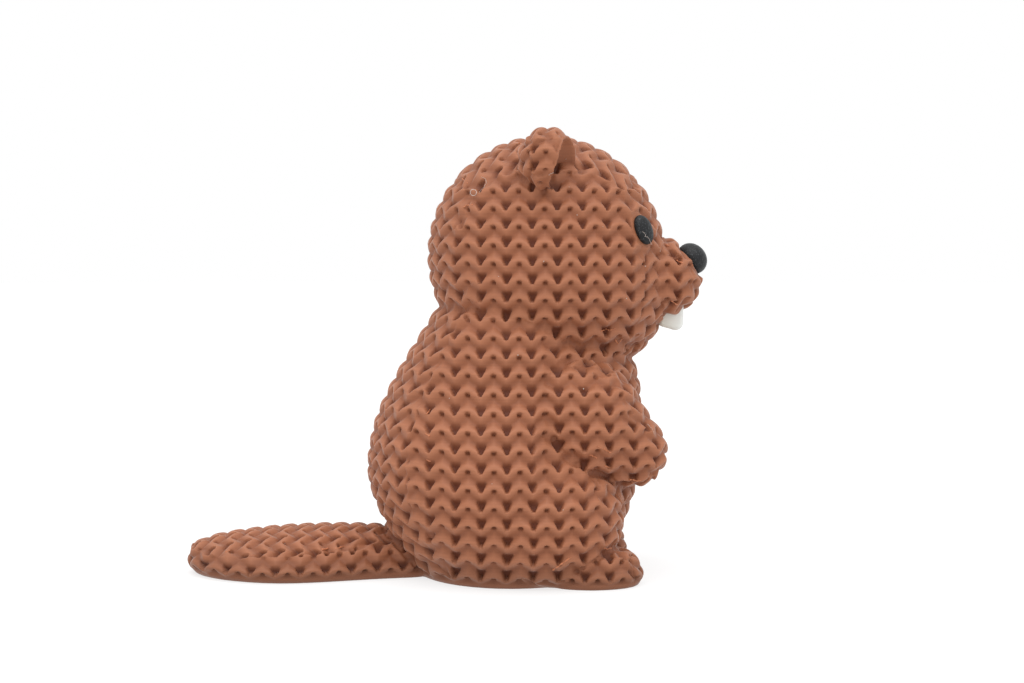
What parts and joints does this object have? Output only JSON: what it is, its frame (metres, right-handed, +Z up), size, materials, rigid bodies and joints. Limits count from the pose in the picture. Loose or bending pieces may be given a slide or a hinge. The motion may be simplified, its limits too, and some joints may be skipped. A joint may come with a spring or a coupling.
{
  "type": "beaver figurine",
  "caption": "Small sitting beaver figurine in matte brown plastic with a raised knitted-stitch relief, dark eyes and nose, pale front teeth and a flat paddle tail.",
  "frame": {"origin": "middle of the trunk's flat underside, on the surface the figure stands on", "axes": "+X the way the figure faces, +Z up; the figure is mirrored across the plane y = 0"},
  "size_m": [0.0949, 0.052, 0.0802],
  "materials": {
    "brown_plastic": "matte warm brown printed plastic, knitted-stitch relief",
    "black_plastic": "matte charcoal black printed plastic, smooth",
    "cream_plastic": "off-white printed plastic, smooth, faintly translucent look"
  },
  "bodies": {
    "root": {"trunk": "brown_plastic", "head": "brown_plastic", "muzzle": "brown_plastic", "ear_left": "brown_plastic", "ear_right": "brown_plastic", "arm_left": "brown_plastic", "arm_right": "brown_plastic", "haunch_left": "brown_plastic", "haunch_right": "brown_plastic", "foot_left": "brown_plastic", "foot_right": "brown_plastic", "tail": "brown_plastic", "eye_left": "black_plastic", "eye_right": "black_plastic", "nose": "black_plastic", "tooth_left": "cream_plastic", "tooth_right": "cream_plastic"}
  },
  "joints": []
}
